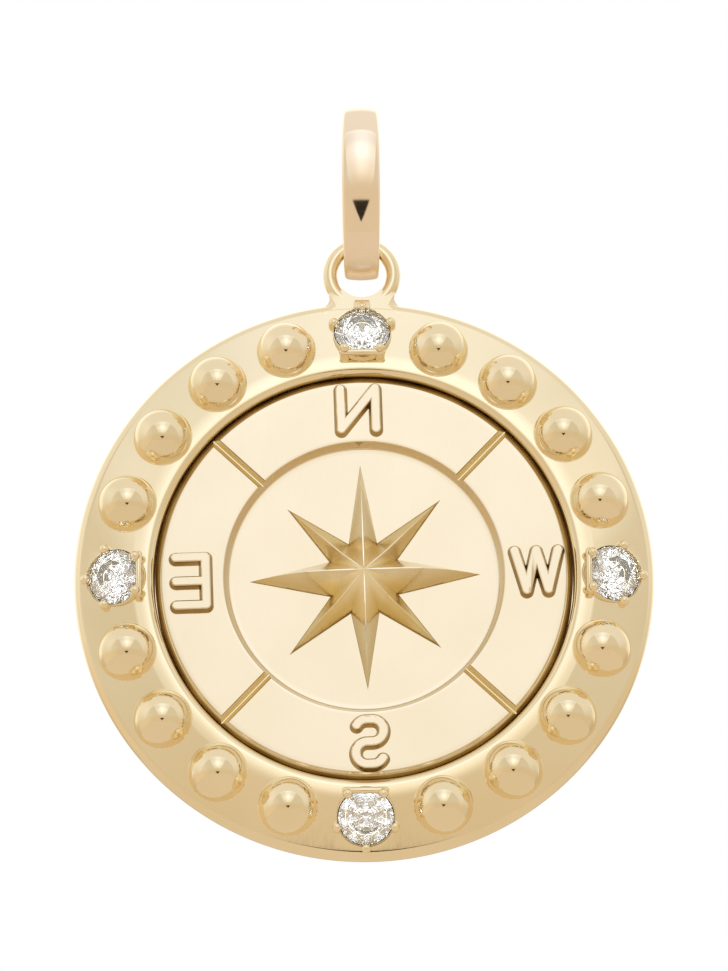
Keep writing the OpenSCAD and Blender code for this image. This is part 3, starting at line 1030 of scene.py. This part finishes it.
# %% The bail's worn end
WORN_FROM, WORN_TO = -0.0056, -0.0062
tree = peach_gold.node_tree
shader = tree.nodes["Principled BSDF"]
polished = shader.inputs["Roughness"].links[0].from_socket
total = add(tree, "ShaderNodeMath", operation="ADD")
link(tree, height_mask(tree, "Z", WORN_FROM, WORN_TO, 0.32), total.inputs[0])
link(tree, polished, total.inputs[1])
link(tree, total.outputs[0], shader.inputs["Roughness"])

# %% [markdown]
# The star gets a painted highlight where it stands high: its middle and its ridges are
# painted a paler gold. How far a point stands out towards the viewer is read from the
# Object coordinates in the same way, and the paler gold fades in with it.

# %% The star's painted highlight on its middle and ridges
HIGHLIGHT_FROM, HIGHLIGHT_TO = -0.0006, -0.0015
tree = satin_gold.node_tree
shader = tree.nodes["Principled BSDF"]
under = shader.inputs["Base Color"].links[0].from_socket
# Painted highlight: the high parts of the star fade to a paler gold.
high = height_mask(tree, "Y", HIGHLIGHT_FROM, HIGHLIGHT_TO, 1.0)
link(tree, fade(tree, high, under, (0.99, 0.93, 0.78)), shader.inputs["Base Color"])

# %% [markdown]
# The stones keep their CAD solids, because a cut stone is already exact: flat facets
# that meet in sharp edges. They get a clear shader that bends light as diamond does.

# %% Stone material
clear_stone = bpy.data.materials.new("brilliant_stone")
clear_stone.use_nodes = True
tree = clear_stone.node_tree
shader = tree.nodes["Principled BSDF"]
shader.inputs["Transmission Weight"].default_value = 0.8
shader.inputs["IOR"].default_value = 2.42
shader.inputs["Roughness"].default_value = 0.0
spot = tree.nodes.new("ShaderNodeTexCoord")
cloud = add(tree, "ShaderNodeTexNoise", Scale=900.0, Detail=2.0)
link(tree, spot.outputs["Object"], cloud.inputs["Vector"])
tint = fade(tree, cloud.outputs["Fac"], (0.93, 0.96, 1.0), (0.98, 0.99, 1.0))
link(tree, tint, shader.inputs["Base Color"])

# %% [markdown]
# Now every piece gets its material, rides on its body and stands for its CAD node. The
# zones of the frame and the dial are kept while their list of materials is filled anew.

# %% Materials, bodies and replaced nodes
zones_of = {}
for piece in (pendant_frame, compass_dial):
    zones_of[piece] = [face.material_index for face in piece.data.polygons]
for piece in (pendant_frame, compass_dial, hoop, *settings.values()):
    piece.data.materials.clear()
for piece, material, body, node in (
    (pendant_frame, yellow_gold, "medallion", "frame"),
    (compass_dial, dial_gold_painted_pale, "medallion", "dial"),
    (settings["top"], yellow_gold, "medallion", "setting_top"),
    (settings["left"], yellow_gold, "medallion", "setting_left"),
    (settings["bottom"], yellow_gold, "medallion", "setting_bottom"),
    (settings["right"], yellow_gold, "medallion", "setting_right"),
    (hoop, peach_gold, "bail", "bail"),
):
    piece.data.materials.append(material)
    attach(piece, body)
    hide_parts(node)
pendant_frame.data.materials.append(painted_shade_gold)
compass_dial.data.materials.append(painted_shade_gold)
compass_dial.data.materials.append(satin_gold)
for piece, piece_zones in zones_of.items():
    for face, zone in zip(piece.data.polygons, piece_zones):
        face.material_index = zone
for side in STONE_ANGLES:
    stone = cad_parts["stone_" + side]
    for slot in stone.material_slots:
        slot.material = clear_stone

# %% [markdown]
# A pale floor lies well below the pendant, which hangs in the air. It throws warm light
# on the gold, but the camera sees it as plain white, like the backdrop of the photograph.

# %% Floor
clear_selection()
bpy.ops.mesh.primitive_plane_add(size=0.6, location=(0, 0, -0.16))
floor = newest("floor")
bpy.ops.object.transform_apply(location=True, rotation=True, scale=True)
paper = bpy.data.materials.new("pale_floor")
paper.use_nodes = True
tree = paper.node_tree
shader = tree.nodes["Principled BSDF"]
shader.inputs["Base Color"].default_value = (0.79, 0.70, 0.58, 1)
shader.inputs["Roughness"].default_value = 0.8
rays = tree.nodes.new("ShaderNodeLightPath")
seen = add(tree, "ShaderNodeEmission", Color=(1, 1, 1, 1), Strength=1.0)
either = tree.nodes.new("ShaderNodeMixShader")
link(tree, rays.outputs["Is Camera Ray"], either.inputs[0])
link(tree, shader.outputs[0], either.inputs[1])
link(tree, seen.outputs[0], either.inputs[2])
link(tree, either.outputs[0], tree.nodes["Material Output"].inputs["Surface"])
floor.data.materials.append(paper)

# %% [markdown]
# Polished metal shows nothing but its surroundings, so the light is drawn as a picture
# of the studio on the sky. It is laid out round one point, the apex, which lies in front
# of the pendant, 20 degrees below the horizon and a little below the camera. "spread" is
# the angle away from the apex, and "turn" goes round it, with 0 straight up. "height"
# runs from -1 at the nadir to 1 at the zenith, and is 0 on the horizon.

# %% Studio light: directions
world = bpy.data.worlds.new("studio")
bpy.context.scene.world = world
world.use_nodes = True
tree = world.node_tree
tree.nodes.clear()
APEX_DOWN = 20.0
spot = tree.nodes.new("ShaderNodeTexCoord")


def math_node(operation, first, second=None, third=None):
    node = add(tree, "ShaderNodeMath", operation=operation)
    for socket, value in zip(node.inputs, (first, second, third)):
        if value is None:
            continue
        if isinstance(value, (int, float)):
            socket.default_value = value
        else:
            link(tree, value, socket)
    return node.outputs[0]


def times(first, second):
    return math_node("MULTIPLY", first, second)


def scaled_plus(value, factor, base):
    """value * factor + base"""
    return math_node("MULTIPLY_ADD", value, factor, base)


def along(direction):
    node = add(tree, "ShaderNodeVectorMath", operation="DOT_PRODUCT")
    link(tree, spot.outputs["Generated"], node.inputs[0])
    node.inputs[1].default_value = direction
    return node.outputs["Value"]


def ramp(value, low, high):
    """A soft step from 0 to 1 between low and high."""
    return remap(tree, value, low, high, interpolation="SMOOTHSTEP")


def falling(value, low, high):
    return math_node("SUBTRACT", 1.0, ramp(value, low, high))


sine = math.sin(math.radians(APEX_DOWN))
cosine = math.cos(math.radians(APEX_DOWN))
to_apex = along((0, -cosine, -sine))
up_from_apex = along((0, -sine, cosine))
right_of_apex = along((1, 0, 0))
spread = math_node("DEGREES", math_node("ARCCOSINE", to_apex))
turn = math_node("DEGREES", math_node("ARCTAN2", right_of_apex, up_from_apex))
off_turn = math_node("ABSOLUTE", turn)
height = along((0, 0, 1))

# %% [markdown]
# The main light is a wedge that opens upwards from the apex: it reaches 30 degrees to
# each side, brighter in the middle, grows as it leaves the apex, fades a little further
# out and ends 70 degrees away, and its left part is weaker. It draws the bright patch on
# the bail and the fans in the beads. Near the apex stands a dark flag with a level top
# edge, which shows as the black triangle in the bail.

# %% Studio light: the wedge and the flag
FLAG_TOP = (-0.178, -0.155)
FLAG_SIDE = (38, 44)
FLAG_DEPTH = 0.96
soft_inside = times(falling(off_turn, 3, 24), 0.45)
inside = scaled_plus(falling(off_turn, 27, 33), 0.55, soft_inside)
below_end = falling(spread, 68, 73)
growth = times(ramp(spread, 17, 32), 0.37)
growth = scaled_plus(ramp(spread, 31, 42), 0.15, growth)
weaker = scaled_plus(ramp(spread, 46, 58), -0.42, 1.0)
left_part = scaled_plus(ramp(turn, -14, 0), 0.25, 0.75)
wedge = times(times(growth, weaker), left_part)
wedge = times(times(wedge, inside), below_end)
dark_flag = times(falling(height, *FLAG_TOP), falling(off_turn, *FLAG_SIDE))

# %% [markdown]
# Round the wedge the room is a calm mid tone. The ceiling beyond the end of the wedge is
# a little brighter, and so is a soft card on the left. Behind the pendant the room goes
# from dim below to bright above, which gives the flat back of the pendant its shading.

# %% Studio light: the room
ROOM_LEVEL = 0.74
CEILING_LEVEL = 0.13
CARD_LEVEL = 0.08
BACK_RISE = 0.5
BACK_LOW = -0.14
ceiling = times(ramp(spread, 66, 71), falling(off_turn, 60, 100))
left_card = ramp(along((-1, 0, 0)), 0.5, 0.9)
behind = ramp(along((0, 1, 0)), 0.2, 0.7)
back_light = scaled_plus(ramp(height, -0.1, 0.16), BACK_RISE, BACK_LOW)
level = math_node("ADD", wedge, ROOM_LEVEL)
level = scaled_plus(ceiling, CEILING_LEVEL, level)
level = scaled_plus(left_card, CARD_LEVEL, level)
level = math_node("MULTIPLY_ADD", behind, back_light, level)
level = times(level, scaled_plus(dark_flag, -FLAG_DEPTH, 1.0))

# %% [markdown]
# The room is warm, and warmer still near the ground, while the wedge gives a cool white
# and the ceiling lies between. Gold shows this as deep shadows and nearly white lights.

# %% Studio light: colours
NEAR_GROUND = (1.0, 0.82, 0.58)
HIGH_UP = (1.0, 0.90, 0.73)
COOL_WHITE = (1.0, 1.0, 1.0)
coolness = times(times(inside, ramp(spread, 22, 42)), below_end)
coolness = scaled_plus(ceiling, 0.35, coolness)
room_colour = fade(tree, ramp(height, -0.12, 0.12), NEAR_GROUND, HIGH_UP)
studio = add(tree, "ShaderNodeBackground")
link(tree, fade(tree, coolness, room_colour, COOL_WHITE), studio.inputs["Color"])
link(tree, level, studio.inputs["Strength"])

# %% [markdown]
# A cut stone sparkles because each facet picks another piece of the room. For light
# that has passed through a stone the room is brighter, with small darker flags in it.
# The camera sees plain white behind the pendant.

# %% Studio light: what the stones and the camera see
BRIGHTEST, DIMMEST = 4.8, 1.7
flags = add(tree, "ShaderNodeTexVoronoi", Scale=5.0)
link(tree, spot.outputs["Generated"], flags.inputs["Vector"])
sparkle = remap(tree, flags.outputs["Distance"], 0.2, 0.6, BRIGHTEST, DIMMEST)
for_stones = add(tree, "ShaderNodeBackground", Color=(0.97, 0.98, 1.0, 1))
link(tree, sparkle, for_stones.inputs["Strength"])
white = add(tree, "ShaderNodeBackground", Color=(1, 1, 1, 1), Strength=1.0)
rays = tree.nodes.new("ShaderNodeLightPath")
through_stone = tree.nodes.new("ShaderNodeMixShader")
choose = tree.nodes.new("ShaderNodeMixShader")
link(tree, rays.outputs["Is Transmission Ray"], through_stone.inputs[0])
link(tree, studio.outputs[0], through_stone.inputs[1])
link(tree, for_stones.outputs[0], through_stone.inputs[2])
link(tree, rays.outputs["Is Camera Ray"], choose.inputs[0])
link(tree, through_stone.outputs[0], choose.inputs[1])
link(tree, white.outputs[0], choose.inputs[2])
result = tree.nodes.new("ShaderNodeOutputWorld")
link(tree, choose.outputs[0], result.inputs["Surface"])

# %% [markdown]
# The camera stands 30 cm away, below the pendant, and looks up at the pendant's middle
# by nearly 17 degrees. A long lens keeps the circle round. The pendant hangs a hair
# askew in the photograph, which is the camera's small roll here. The plain "Standard"
# view keeps the white of the backdrop white.

# %% Camera
AIM = Vector((0.00003, 0, -0.01623))
DISTANCE = 0.3012
LOOK_UP = 16.78
LENS = 171.8
ROLL = -0.45
camera_data = bpy.data.cameras.new("camera")
camera_data.sensor_fit = "VERTICAL"
camera_data.sensor_height = 24
camera_data.lens = LENS
camera_data.clip_start = 0.01
camera = bpy.data.objects.new("camera", camera_data)
bpy.context.scene.collection.objects.link(camera)
tilt = Matrix.Rotation(math.radians(90 + LOOK_UP), 4, "X")
back = Vector((0, -math.cos(math.radians(LOOK_UP)), -math.sin(math.radians(LOOK_UP))))
roll = Matrix.Rotation(math.radians(ROLL), 4, "Z")
camera.matrix_world = Matrix.Translation(AIM + back * DISTANCE) @ tilt @ roll
bpy.context.scene.camera = camera
bpy.context.scene.view_settings.view_transform = "Standard"
